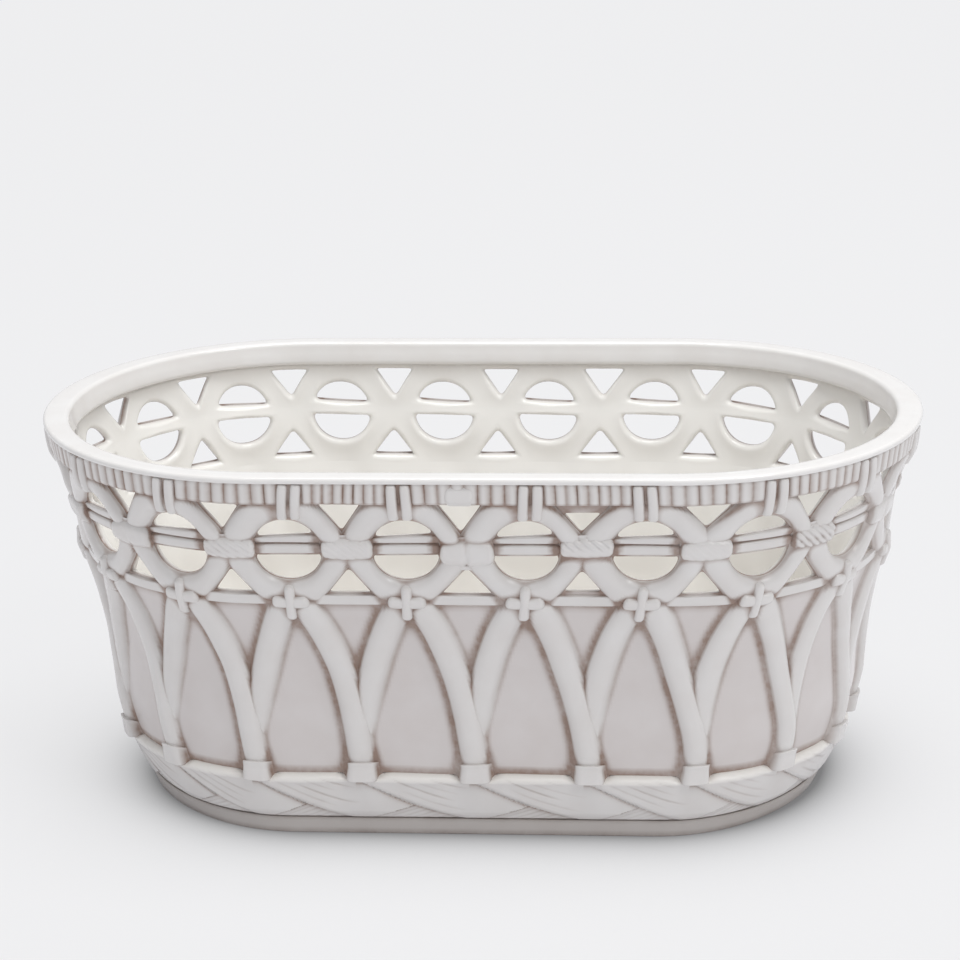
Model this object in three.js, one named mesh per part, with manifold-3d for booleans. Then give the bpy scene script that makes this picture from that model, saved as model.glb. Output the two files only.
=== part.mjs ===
// An oval cachepot in white glazed ceramic that imitates basketwork. The body is one cast shell. On
// it lie the clay strands that the potter adds: a lip, a fluted collar with twin wraps, a chain
// of rings tied to each other by bindings, a rail with cross ties, an arcade of pointed arches, a
// plaited band with cuffs, and a foot ring. Millimetres, +Z up, +X along the length. The origin is
// the middle of the underside.
//
// Every piece is first laid out on a round drum, where a is the distance round it at the rings'
// height, z the height and d the rise above the panels. The last step bends the drum to the oval.
import * as THREE from 'three';
import { mergeVertices } from 'three/addons/utils/BufferGeometryUtils.js';
import Module from 'manifold-3d';

const wasm = await Module();
wasm.setup();

// Driving dimensions
const LENGTH = 400;
const WIDTH = 227;
const HEIGHT = 176;
const MODULES = 20;
const CLEARANCE = 0.3;

// Heights that are measured up from the ground
const FOOT_HEIGHT = 7;
const FLOOR_THICKNESS = 6.2;
const PLAIT_HEIGHT = 21.7;
const WAIST_HEIGHT = 60;

// Heights that are measured down from the top
const LIP_THICKNESS = 3;
const COLLAR_HEIGHT = 9.2;
const THROAT_DEPTH = 10.5;
const WRAP_DEPTH = 20;
const RING_DEPTH = 35;
const RAIL_TOP_DEPTH = 57.4;
const RAIL_HEIGHT = 5.1;
const ARCH_TOP_DEPTH = 62.8;

// How far the panels lie inside the edge of the lip
const FOOT_INSET = 29.5;
const LEDGE_INSET = 28.3;
const WAIST_INSET = 27.3;
const RAIL_INSET = 16.5;
const RING_INSET = 12.5;
const COLLAR_INSET = 6.6;
const TOP_INSET = 6;
const ENDS_DRAWN_IN = 4;
const HOLLOW_DEPTH = 2.5;

// Wall, lip, collar, plait and foot
const WALL = 5.4;
const TOP_WALL = 3.2;
const LIP_WIDTH = 10.4;
const LIP_EDGE = 1;
const LIP_ROUND = 2;
const SKIRT = 1.5;
const COLLAR_LEAN = 1.6;
const PLAIT_RECESS = 4.2;
const PLAIT_RISE = 8;
const PLAIT_BATTER = 3.6;
const PLAIT_ROUND = 3;
const FOOT_WIDTH = 12;
const FOOT_CHAMFER = 1;
const FLOOR_ROUND = 5;

// Strands and knots
const CANE_WIDTH = 9.6;
const CANE_RISE = 3.6;
const CANE_CROWN = 0.72;
const RING_TOP_SQUARENESS = 3.2;
const RING_BASE_SQUARENESS = 2.3;
const REED_WIDTH = 4.2;
const REED_RISE = 1.4;
const KNOT_THICKNESS = 1.2;
const OPENING_WIDTH = 27.4;
const OPENING_HEIGHT = 31;
const WEB_HEIGHT = 9.5;
const WEB_OFFSET = 2.5;
const UPPER_HOLE_WIDTH = 17.4;
const UPPER_HOLE_HEIGHT = 13.3;
const LOWER_HOLE_WIDTH = 20;
const LOWER_HOLE_HEIGHT = 10.8;
const HOLE_TIP = 2;
const HOLE_CUT = 14;
const BINDING_WIDTH = 22;
const BINDING_HEIGHT = 10;
const TIE_WIDTH = 4.8;
const TIE_HEIGHT = 19;
const TIE_BAR_WIDTH = 17.3;
const TIE_STEP = 0.3;
const WRAP_WIDTH = 4.9;
const WRAP_SPACING = 6;
const WRAP_PROUD = 0.6;
const RAIL_RISE = 1.6;
const STEM_WIDTH = 12;
const CUFF_WIDTH = 14;
const CUFF_HEIGHT = 7.4;
const CUFF_ROOT = 3;

// The bindings stand a little wider apart along the sides than round the ends, more so lower down
const SPREAD_AT_TOP = 0.014;
const SPREAD_AT_FOOT = 0.19;

// Heights and radii that follow
const RIM_RADIUS = WIDTH / 2;
const HALF_STRAIGHT = (LENGTH - WIDTH) / 2;
const LIP_Z = HEIGHT - LIP_THICKNESS;
const COLLAR_TOP = LIP_Z - CLEARANCE;
const COLLAR_Z = COLLAR_TOP - COLLAR_HEIGHT;
const RING_Z = HEIGHT - RING_DEPTH;
const RAIL_TOP = HEIGHT - RAIL_TOP_DEPTH;
const RAIL_Z = RAIL_TOP - RAIL_HEIGHT;
const ARCH_TOP = HEIGHT - ARCH_TOP_DEPTH;
const WRAP_Z = HEIGHT - WRAP_DEPTH;
const SHELL_Z = FOOT_HEIGHT + CLEARANCE;
const FLOOR_Z = SHELL_Z + FLOOR_THICKNESS;
const PLAIT_TOP = SHELL_Z + PLAIT_HEIGHT;
const LEDGE_Z = PLAIT_TOP + CLEARANCE;
const KNOT_BACK = CANE_RISE + CLEARANCE;
const KNOT_RISE = KNOT_BACK + KNOT_THICKNESS;
const UPPER_HOLE_TOP = COLLAR_Z - 2 * CLEARANCE;
const LOWER_HOLE_BASE = RAIL_TOP + CLEARANCE;
const RING_BASE = RAIL_TOP + CLEARANCE;

// Height and radius of the panels' face, which hollows a little between the waist and the rail
const hollow = [1 / 3, 2 / 3].map((t) => [THREE.MathUtils.lerp(WAIST_HEIGHT, RAIL_TOP, t),
  RIM_RADIUS - THREE.MathUtils.lerp(WAIST_INSET, RAIL_INSET, t) - HOLLOW_DEPTH * 4 * t * (1 - t)]);
const panelLevels = [[0, RIM_RADIUS - FOOT_INSET], [LEDGE_Z, RIM_RADIUS - LEDGE_INSET],
  [WAIST_HEIGHT, RIM_RADIUS - WAIST_INSET], ...hollow, [RAIL_TOP, RIM_RADIUS - RAIL_INSET],
  [RING_Z, RIM_RADIUS - RING_INSET], [COLLAR_Z, RIM_RADIUS - COLLAR_INSET],
  [HEIGHT, RIM_RADIUS - TOP_INSET]];

function panelRadius(z) {
  const i = Math.max(1, panelLevels.findIndex(([height]) => height >= z));
  const [[lowZ, low], [highZ, high]] = panelLevels.slice(i - 1, i + 1);
  return THREE.MathUtils.mapLinear(z, lowZ, highZ, low, high);
}

// Half the length of the straight sides, which the ends draw in toward the foot
function halfStraight(z) {
  const below = Math.max(0, 1 - z / WAIST_HEIGHT);
  return HALF_STRAIGHT - ENDS_DRAWN_IN * below * below;
}

const girthAt = (z) => 4 * halfStraight(z) + 2 * Math.PI * panelRadius(z);
const GIRTH = girthAt(RING_Z);
const PITCH = GIRTH / MODULES;
const DRUM = GIRTH / (2 * Math.PI);
const HOOP_STEPS = 3 * MODULES;

// Place on the oval of a drum angle phi, a height z and a rise d above the panels
function ovalPoint(phi, z, d) {
  const c = halfStraight(z);
  const r = panelRadius(z);
  const spread = THREE.MathUtils.lerp(SPREAD_AT_FOOT, SPREAD_AT_TOP, z / HEIGHT);
  const turn = phi / (2 * Math.PI) + (spread * Math.sin(2 * phi)) / (4 * Math.PI);
  const s = Math.abs(turn) * girthAt(z);
  const side = Math.sign(turn) || 1;
  const arc = Math.PI * r;
  const out = r + d;
  if (s <= c) return new THREE.Vector3(side * s, -out, z);
  if (s >= c + arc) return new THREE.Vector3(side * (2 * c + arc - s), out, z);
  const angle = (s - c) / r;
  return new THREE.Vector3(side * (c + out * Math.sin(angle)), -out * Math.cos(angle), z);
}

// Bends a piece from the drum to the oval, where the drum's axis is the object's own
function bendToOval(geometry) {
  const place = geometry.attributes.position;
  for (let i = 0; i < place.count; i += 1) {
    const [x, y, z] = new THREE.Vector3().fromBufferAttribute(place, i);
    const radius = Math.hypot(x, z);
    const bent = radius < 1 ? new THREE.Vector3(0, 0, y) : ovalPoint(Math.atan2(x, z), y, radius - DRUM);
    place.setXYZ(i, bent.x, bent.y, bent.z);
  }
  return geometry;
}

// Rolls a piece that was drawn flat, with x along the wall, y up and z outward, onto the drum
function rollOntoDrum(geometry) {
  const place = geometry.attributes.position;
  for (let i = 0; i < place.count; i += 1) {
    const phi = place.getX(i) / DRUM;
    const radius = DRUM + place.getZ(i);
    place.setXYZ(i, radius * Math.sin(phi), place.getY(i), radius * Math.cos(phi));
  }
  return geometry;
}

// A closed mesh as a solid, with its faces turned outward
function toSolid(geometry) {
  const bare = geometry.clone();
  bare.deleteAttribute('normal');
  bare.deleteAttribute('uv');
  const merged = mergeVertices(bare, 1e-3);
  const vertProperties = new Float32Array(merged.attributes.position.array);
  const corners = Array.from(merged.index.array);
  const kept = [];
  for (let i = 0; i < corners.length; i += 3) {
    const [p, q, r] = corners.slice(i, i + 3);
    if (p !== q && q !== r && r !== p) kept.push(p, q, r);
  }
  const at = (i) => new THREE.Vector3().fromArray(vertProperties, 3 * i);
  let volume = 0;
  for (let i = 0; i < kept.length; i += 3) {
    volume += at(kept[i]).dot(at(kept[i + 1]).cross(at(kept[i + 2])));
  }
  const triVerts = new Uint32Array(volume < 0 ? kept.reverse() : kept);
  return new wasm.Manifold(new wasm.Mesh({ numProp: 3, vertProperties, triVerts }));
}

function toGeometry(solid) {
  const mesh = solid.getMesh();
  const geometry = new THREE.BufferGeometry();
  geometry.setAttribute('position', new THREE.BufferAttribute(mesh.vertProperties, 3));
  geometry.setIndex(new THREE.BufferAttribute(mesh.triVerts, 1));
  return geometry;
}

// A hoop round the drum from a closed profile of [radius on the object, height]
function hoop(profile) {
  const points = profile.map(([r, z]) => new THREE.Vector2(r > 0 ? DRUM + r - panelRadius(z) : 0, z));
  return toSolid(new THREE.LatheGeometry(points, HOOP_STEPS));
}

// A flat outline of [along, up] extruded outward from one rise to another
function plate(outline, back, front) {
  const shape = new THREE.Shape(outline.map(([a, z]) => new THREE.Vector2(a, z)));
  const geometry = new THREE.ExtrudeGeometry(shape, { depth: front - back, bevelEnabled: false });
  return toSolid(rollOntoDrum(geometry.translate(0, 0, back)));
}

// A rectangular plate with cross cuts at most 10 mm apart, so that it can bend
function block(centre, z, width, height, back, front) {
  const [across, up] = [width, height].map((length) => Math.ceil(length / 10));
  const geometry = new THREE.BoxGeometry(width, height, front - back, across, up, 1);
  return toSolid(rollOntoDrum(geometry.translate(centre, z + height / 2, (back + front) / 2)));
}

// A solid through a row of four-cornered sections, each corner [along, up, out]
function loft(sections, closed) {
  const corners = sections[0].length;
  const index = [];
  const spans = closed ? sections.length : sections.length - 1;
  for (let i = 0; i < spans; i += 1) {
    const next = (i + 1) % sections.length;
    for (let j = 0; j < corners; j += 1) {
      const k = (j + 1) % corners;
      const [p, q, r, s] = [i * corners + j, i * corners + k, next * corners + k, next * corners + j];
      index.push(p, q, r, p, r, s);
    }
  }
  if (!closed) {
    const end = (sections.length - 1) * corners;
    index.push(0, 2, 1, 0, 3, 2, end, end + 1, end + 2, end, end + 2, end + 3);
  }
  const geometry = new THREE.BufferGeometry();
  geometry.setAttribute('position', new THREE.Float32BufferAttribute(sections.flat(2), 3));
  geometry.setIndex(index);
  return toSolid(rollOntoDrum(geometry));
}

// A strand along a flat curve, narrower at its crown than at its back
function strand(curve, steps, startWidth, endWidth, back, front) {
  const sections = Array.from({ length: steps + 1 }, (_, i) => {
    const p = curve.getPoint(i / steps);
    const t = curve.getTangent(i / steps);
    const corner = (across, d) => [p.x - t.y * across, p.y + t.x * across, d];
    const half = THREE.MathUtils.lerp(startWidth, endWidth, i / steps) / 2;
    const crown = half * CANE_CROWN;
    return [corner(-half, back), corner(half, back), corner(crown, front), corner(-crown, front)];
  });
  return loft(sections, false);
}

const join = (solids) => solids.reduce((sum, solid) => sum.add(solid));
const everyModule = (make) => Array.from({ length: MODULES }, (_, k) => make(k));

// Outlines of the pierced holes, about a binding at a = 0 or a ring's middle
function moonOutline(centre, upper) {
  const sign = upper ? 1 : -1;
  const edge = RING_Z + WEB_OFFSET + (sign * WEB_HEIGHT) / 2;
  const rise = (edge - RING_Z) / (OPENING_HEIGHT / 2);
  const from = Math.asin(rise * sign);
  const points = [];
  for (let i = 0; i <= 5; i += 1) {
    const angle = THREE.MathUtils.lerp(from, Math.PI - from, i / 5);
    const across = (OPENING_WIDTH / 2) * Math.cos(angle);
    points.push([centre + across, RING_Z + (sign * OPENING_HEIGHT / 2) * Math.sin(angle)]);
  }
  return upper ? points : points.reverse();
}

function upperHoleOutline(centre) {
  const half = UPPER_HOLE_WIDTH / 2;
  const tip = UPPER_HOLE_TOP - UPPER_HOLE_HEIGHT;
  return [[centre - HOLE_TIP / 2, tip], [centre + HOLE_TIP / 2, tip],
    [centre + half, UPPER_HOLE_TOP], [centre - half, UPPER_HOLE_TOP]];
}

function lowerHoleOutline(centre) {
  const half = LOWER_HOLE_WIDTH / 2;
  const tip = LOWER_HOLE_BASE + LOWER_HOLE_HEIGHT;
  return [[centre - half, LOWER_HOLE_BASE], [centre + half, LOWER_HOLE_BASE],
    [centre + HOLE_TIP / 2, tip], [centre - HOLE_TIP / 2, tip]];
}

// The cast body: floor, wall and the pierced band
function makeShell() {
  const recess = RIM_RADIUS - LEDGE_INSET - PLAIT_RECESS;
  const topInside = panelRadius(COLLAR_TOP) - TOP_WALL;
  const floorRadius = recess - FLOOR_THICKNESS;
  const inside = panelLevels.slice(2, -2).reverse().map(([z, r]) => [r - WALL, z]);
  const profile = [[0, SHELL_Z], [recess, SHELL_Z], [recess, LEDGE_Z],
    ...panelLevels.slice(1, -1).map(([z, r]) => [r, z]), [panelRadius(COLLAR_TOP), COLLAR_TOP],
    [topInside, COLLAR_TOP], [topInside, COLLAR_Z], ...inside, [floorRadius, FLOOR_Z + FLOOR_ROUND],
    [floorRadius - FLOOR_ROUND, FLOOR_Z], [0, FLOOR_Z]];
  const holes = everyModule((k) => {
    const binding = k * PITCH;
    const ring = (k + 0.5) * PITCH;
    return [upperHoleOutline(binding), lowerHoleOutline(binding), moonOutline(ring, true),
      moonOutline(ring, false)].map((outline) => plate(outline, -HOLE_CUT, CANE_RISE));
  });
  return hoop(profile).subtract(join(holes.flat()));
}

function makeFoot() {
  const outer = RIM_RADIUS - FOOT_INSET;
  return hoop([[outer - FOOT_WIDTH, 0], [outer - FOOT_CHAMFER, 0], [outer, FOOT_CHAMFER],
    [outer, FOOT_HEIGHT], [outer - FOOT_WIDTH, FOOT_HEIGHT], [outer - FOOT_WIDTH, 0]]);
}

function makeLip() {
  const inner = RIM_RADIUS - LIP_WIDTH;
  const skirtOuter = panelRadius(COLLAR_TOP) - TOP_WALL - CLEARANCE;
  const skirtInner = skirtOuter - SKIRT;
  const throat = HEIGHT - THROAT_DEPTH;
  return hoop([[RIM_RADIUS - LIP_EDGE, LIP_Z], [RIM_RADIUS, LIP_Z + LIP_EDGE],
    [RIM_RADIUS - LIP_ROUND, HEIGHT], [inner + LIP_ROUND, HEIGHT], [inner, HEIGHT - LIP_ROUND],
    [skirtInner, throat], [skirtOuter, throat], [skirtOuter, LIP_Z], [RIM_RADIUS - LIP_EDGE, LIP_Z]]);
}

function makeCollar() {
  const inner = (z) => panelRadius(z) + CLEARANCE;
  const edge = RIM_RADIUS - LIP_EDGE;
  const band = hoop([[inner(COLLAR_Z), COLLAR_Z], [edge - COLLAR_LEAN, COLLAR_Z], [edge, COLLAR_TOP],
    [inner(COLLAR_TOP), COLLAR_TOP], [inner(COLLAR_Z), COLLAR_Z]]);
  const rise = edge - panelRadius(COLLAR_TOP) + WRAP_PROUD;
  const wraps = everyModule((k) => [-0.5, 0.5].map((side) => {
    const centre = (k + 0.5) * PITCH + side * WRAP_SPACING;
    return block(centre, WRAP_Z, WRAP_WIDTH, COLLAR_TOP - WRAP_Z, KNOT_BACK, rise);
  }));
  return join([band, ...wraps.flat()]);
}

// One ring of cane round its opening, with the twin reeds across it
function makeRing(k) {
  const centre = (k + 0.5) * PITCH;
  const side = PITCH / 2 - CLEARANCE / 2;
  const top = COLLAR_Z - CLEARANCE - RING_Z;
  const base = RING_Z - RING_BASE;
  const steps = 16;
  const sections = Array.from({ length: steps }, (_, i) => {
    const angle = (2 * Math.PI * i) / steps;
    const [x, z] = [Math.cos(angle), Math.sin(angle)];
    const power = z > 0 ? RING_TOP_SQUARENESS : RING_BASE_SQUARENESS;
    const reach = (Math.abs(x) ** power + Math.abs(z) ** power) ** (-1 / power);
    const open = [x * OPENING_WIDTH / 2, z * OPENING_HEIGHT / 2];
    const edge = [x * reach * side, z * reach * (z > 0 ? top : base)];
    const corner = (t, d) => [centre + THREE.MathUtils.lerp(open[0], edge[0], t),
      RING_Z + THREE.MathUtils.lerp(open[1], edge[1], t), d];
    const shoulder = (1 - CANE_CROWN) / 2;
    return [corner(0, CLEARANCE), corner(1, CLEARANCE), corner(1 - shoulder, CANE_RISE),
      corner(shoulder, CANE_RISE)];
  });
  const reeds = [-0.5, 0.5].map((offset) => {
    const z = RING_Z + WEB_OFFSET + offset * (WEB_HEIGHT - REED_WIDTH) - REED_WIDTH / 2;
    return block(centre, z, OPENING_WIDTH + 2, REED_WIDTH, CLEARANCE, REED_RISE);
  });
  return join([loft(sections, true), ...reeds]);
}

// The binding over the canes of the two rings that meet at a = k pitches
function makeBinding(k) {
  const z = RING_Z - BINDING_HEIGHT / 2;
  return block(k * PITCH, z, BINDING_WIDTH, BINDING_HEIGHT, KNOT_BACK, KNOT_RISE);
}

// The rail with its cross ties, each a bar on the rail with a strand over it
function makeRail() {
  const inner = (z) => panelRadius(z) + CLEARANCE;
  const outer = (z) => panelRadius(z) + RAIL_RISE;
  const band = hoop([[inner(RAIL_Z), RAIL_Z], [outer(RAIL_Z), RAIL_Z], [outer(RAIL_TOP), RAIL_TOP],
    [inner(RAIL_TOP), RAIL_TOP], [inner(RAIL_Z), RAIL_Z]]);
  const strandZ = RAIL_Z + (RAIL_HEIGHT - TIE_HEIGHT) / 2;
  const ties = everyModule((k) => {
    const centre = (k + 0.5) * PITCH;
    return [block(centre, strandZ, TIE_WIDTH, TIE_HEIGHT, KNOT_BACK, KNOT_RISE),
      block(centre, RAIL_Z, TIE_BAR_WIDTH, RAIL_HEIGHT, RAIL_RISE / 2, KNOT_RISE - TIE_STEP)];
  });
  return join([band, ...ties.flat()]);
}

// One pointed arch: two canes from under the tie at (k + 1/2) pitches down to the stems, which it
// shares with its neighbour or leaves half of to the next pair
function archCanes(k, sharedSide) {
  const centre = (k + 0.5) * PITCH;
  const height = ARCH_TOP - LEDGE_Z;
  return [-1, 1].map((side) => {
    const reach = PITCH / 2 + (side === sharedSide ? CLEARANCE : -CLEARANCE / 2);
    const stem = reach - STEM_WIDTH / 4;
    const spot = (out, up) => new THREE.Vector2(centre + side * out * stem, LEDGE_Z + up * height);
    const curve = new THREE.CubicBezierCurve(spot(0, 1.04), spot(0.77, 0.84), spot(1, 0.45), spot(1, 0));
    return strand(curve, 7, CANE_WIDTH, STEM_WIDTH / 2, CLEARANCE, CANE_RISE);
  });
}

// Two neighbouring arches that share the stem between them
function makeArchPair(pair) {
  const left = 2 * pair;
  const canes = join([...archCanes(left, 1), ...archCanes(left + 1, -1)]);
  const middle = (left + 1) * PITCH;
  const room = block(middle, LEDGE_Z, 2 * PITCH - CLEARANCE, ARCH_TOP - LEDGE_Z, 0, CANE_RISE + 1);
  return canes.intersect(room);
}

// The plaited band with the cuffs that hold the stems, each a plate on a root in the band
function makePlait() {
  const inner = RIM_RADIUS - LEDGE_INSET - PLAIT_RECESS + CLEARANCE;
  const outer = inner + PLAIT_RISE;
  const band = hoop([[inner, SHELL_Z], [outer - PLAIT_BATTER, SHELL_Z],
    [outer, PLAIT_TOP - PLAIT_ROUND], [outer - PLAIT_ROUND, PLAIT_TOP], [inner, PLAIT_TOP],
    [inner, SHELL_Z]]);
  const root = PLAIT_TOP - CUFF_ROOT;
  const cuffs = everyModule((k) => [
    block(k * PITCH, root, CUFF_WIDTH, CUFF_ROOT + CUFF_HEIGHT, KNOT_BACK, KNOT_RISE),
    block(k * PITCH, root, CUFF_WIDTH, CUFF_ROOT - CLEARANCE, CANE_RISE / 2, KNOT_RISE)]);
  return join([band, ...cuffs.flat()]);
}

const glaze = (color, roughness) => new THREE.MeshStandardMaterial({ color, roughness, metalness: 0 });
const shellGlaze = glaze(0xe9e5da, 0.18);
const reliefGlaze = glaze(0xd6d3d2, 0.3);
const lipGlaze = glaze(0xf6f5f2, 0.12);
const footGlaze = glaze(0xc9c4c0, 0.35);

const cachepot = new THREE.Group();
cachepot.name = 'oval_cachepot';

function addPiece(name, solid, material) {
  const piece = new THREE.Mesh(bendToOval(toGeometry(solid)), material);
  piece.name = name;
  cachepot.add(piece);
}

const number = (k) => String(k + 1).padStart(2, '0');

addPiece('body_shell', makeShell(), shellGlaze);
addPiece('foot_ring', makeFoot(), footGlaze);
addPiece('rim_lip', makeLip(), lipGlaze);
addPiece('fluted_collar', makeCollar(), reliefGlaze);
everyModule((k) => addPiece(`ring_${number(k)}`, makeRing(k), reliefGlaze));
everyModule((k) => addPiece(`binding_${number(k)}`, makeBinding(k), reliefGlaze));
addPiece('tie_rail', makeRail(), reliefGlaze);
for (let pair = 0; pair < MODULES / 2; pair += 1) {
  addPiece(`arch_pair_${number(pair)}`, makeArchPair(pair), reliefGlaze);
}
addPiece('plaited_band', makePlait(), reliefGlaze);

export default cachepot;
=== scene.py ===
"""An oval cachepot in white glazed ceramic that imitates basketwork, in a plain pale studio."""
import math

import bmesh
import bpy
import numpy as np
from mathutils import Matrix, Vector


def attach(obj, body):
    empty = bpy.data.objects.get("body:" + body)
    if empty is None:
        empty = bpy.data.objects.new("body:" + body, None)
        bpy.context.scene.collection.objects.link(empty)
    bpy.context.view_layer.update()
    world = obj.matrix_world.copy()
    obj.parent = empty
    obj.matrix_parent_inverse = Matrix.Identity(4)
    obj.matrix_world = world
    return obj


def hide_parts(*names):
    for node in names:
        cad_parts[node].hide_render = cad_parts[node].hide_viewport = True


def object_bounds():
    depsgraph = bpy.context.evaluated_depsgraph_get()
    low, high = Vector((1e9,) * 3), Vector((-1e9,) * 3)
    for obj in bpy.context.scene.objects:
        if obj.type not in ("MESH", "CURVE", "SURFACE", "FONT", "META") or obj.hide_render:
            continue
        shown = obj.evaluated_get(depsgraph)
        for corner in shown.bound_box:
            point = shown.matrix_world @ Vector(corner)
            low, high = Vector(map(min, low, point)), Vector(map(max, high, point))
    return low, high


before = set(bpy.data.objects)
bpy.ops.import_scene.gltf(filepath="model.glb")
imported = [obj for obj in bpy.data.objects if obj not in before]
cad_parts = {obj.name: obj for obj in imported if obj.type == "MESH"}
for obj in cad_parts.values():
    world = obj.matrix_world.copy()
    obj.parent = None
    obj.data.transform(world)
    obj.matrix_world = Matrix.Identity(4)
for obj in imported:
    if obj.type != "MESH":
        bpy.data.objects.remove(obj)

cad_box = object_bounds()

# Lengths are in millimetres up to the mesh, which is in metres
MM = 0.001
LENGTH, WIDTH, HEIGHT = ((high - low) / MM for low, high in zip(*cad_box))
MODULES = 20
RIM_RADIUS = WIDTH / 2
HALF_STRAIGHT = (LENGTH - WIDTH) / 2
ENDS_DRAWN_IN = 4.0
BASE_DRAWN_IN = {"left": 10.0, "right": 12.5}
BASE_DRAWN_TO = 50.0

# Heights above the ground
FOOT_TOP = 7.0
SHELL_Z = 7.3
FLOOR_Z = 13.5
PLAIT_TOP = 29.0
LEDGE_Z = 29.3
WAIST_Z = 60.0
ARCH_TOP = HEIGHT - 62.0
BAND_Z = HEIGHT - 61.0
RAIL_Z = HEIGHT - 62.5
RAIL_TOP = HEIGHT - 57.4
TIE_Z = HEIGHT - 60.6
RING_Z = HEIGHT - 35.0
WEB_Z = HEIGHT - 33.5
BAND_TOP = HEIGHT - 10.0
COLLAR_Z = HEIGHT - 13.0
COLLAR_TOP = HEIGHT - 3.3
LIP_Z = HEIGHT - 3.0

# Height and inset from the lip's edge of the panels' face
PANEL_LEVELS = ((0, 29.5), (LEDGE_Z, 28.3), (WAIST_Z, 27.3), (79.5, 25.9), (99.1, 22.3),
                (RAIL_TOP, 16.5), (RING_Z, 12.5), (COLLAR_Z, 6.6), (HEIGHT, 6.0))
SPREAD_AT_TOP = 0.014
SPREAD_AT_FOOT = 0.19
WALL = 5.4
TOP_WALL = 3.2
INSIDE_FOLLOW = 0.55

# Canes, strands and knots. Pairs are a width and a height, but those of the web and its reeds are
# the heights and climbs of its lower and upper edge, and each reed's heights at its left and right
CANE_RISE = 3.8
OPENING_Z = HEIGHT - 35.6
OPENING = (27.4, 29.6)
WEB = (138.0, 146.7)
WEB_SLOPE = (0.03, 0.06)
LOWER_REED = (140.2, 140.7)
UPPER_REED = (144.6, 145.5)
BINDING = (22.2, 10.4)
WRAP_SPREAD = 5.4
WRAP_REACH = 5.1
REEDS_BETWEEN_WRAPS = 8
STEM_SHIFT = 1.0
CUFF = (13.4, 10.2)

# Where the twin wraps stand off the middle of their ring, by hand, along the front
WRAP_SHIFTS = {17: 1.1, 18: 4.2, 19: -1.3, 0: 2.7, 1: -1.1, 2: 2.6}

# Three-sided holes over and under the bindings: width, lowest, highest and shift of the middle, first
# the usual one and then those cut otherwise at the front, under their binding's number
UPPER_HOLES = ((17.6, 149.2, 162.0, -1.3),
               {0: (18.2, 148.4, 162.4, -1.8), 1: (15.4, 148.8, 158.4, -1.8), 2: (20.2, 151.4, 161.8, 0.0)})
LOWER_HOLES = ((18.4, 118.7, 130.6, -0.3), {0: (21.4, 118.1, 131.0, 0.0), 1: (15.8, 120.0, 130.4, -1.4)})

OPENING_POWER = 2.1
MOON_CORNER = 3.3
TRIANGLE_CORNERS = (1.8, 1.8, 2.4)

# The far side starts at this angle round the oval from the middle of the front, and over the next
# angle it reaches its full share. It was cut a little higher below its webs, and its openings
# reach higher
FAR_FROM, FAR_OVER = 1.3, 0.8
FAR_LIFT = 3.0
FAR_OPENING_RISE = 1.7

# Round the ends the strands lose this share of their rise, and the lip is wider on its inner side
FLATTER_AT_ENDS = 0.42
LIP_WIDER_AT_ENDS = 2.0

# Share of the wash and painted shade taken off round the right end, so it is lighter, and how far that
# reaches, in girths
LIGHTER_AT_RIGHT, LIGHTER_OVER = 0.6, 0.09

# How far the hand drifts along the wall, up it and out from it, over which length, and the seed
DRIFT_ALONG, DRIFT_UP, DRIFT_OUT = (0.22, 50, 1), (0.14, 45, 2), (0.12, 35, 3)

# Points of the meshes: steps to a module, points across a strand, and the angle of a sharp edge
STEPS_PER_MODULE = 40
REED_STEPS = 96
PLAIT_STEPS = 76
SECTION_POINTS = 19
SHARP_ANGLE = math.radians(50)


def panel_radius(z):
    """Radius of the panels' face: the levels joined by straight lines, averaged over 9 mm of height."""
    heights = [level[0] for level in PANEL_LEVELS]
    radii = [RIM_RADIUS - level[1] for level in PANEL_LEVELS]
    return np.mean([np.interp(z + step, heights, radii) for step in np.linspace(-4.5, 4.5, 7)], axis=0)


def half_straight(z):
    """Half the length of the straight sides, which the ends draw in toward the foot."""
    return HALF_STRAIGHT - ENDS_DRAWN_IN * np.maximum(0, 1 - z / WAIST_Z) ** 2


def girth(z):
    """Length of the way round the panels' face at a height."""
    return 4 * half_straight(z) + 2 * np.pi * panel_radius(z)


GIRTH = float(girth(np.float64(RING_Z)))
PITCH = GIRTH / MODULES
BINDING_Z = RING_Z - 0.2


def drift(a, z, amount, length, seed):
    """Smooth noise of about the amount either way: six sine waves that each close round the oval."""
    rng = np.random.default_rng(seed)
    total = np.zeros(np.broadcast(a, z).shape)
    for _ in range(6):
        turns = round(GIRTH / length * rng.uniform(0.5, 1.3)) * rng.choice((-1, 1))
        climb = 2 * np.pi / length * rng.uniform(-1, 1)
        total += np.sin(2 * np.pi * turns * a / GIRTH + climb * z + rng.uniform(0, 6.28))
    return amount * total / 2.4


def ease(x):
    """Smooth step from 0 to 1."""
    x = np.clip(x, 0, 1)
    return x * x * (3 - 2 * x)


def far_share(turn):
    """Share of the far side, from 0 to 1, at an angle round the oval from the middle of the front."""
    return ease((np.abs(turn) - FAR_FROM) / FAR_OVER)


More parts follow.
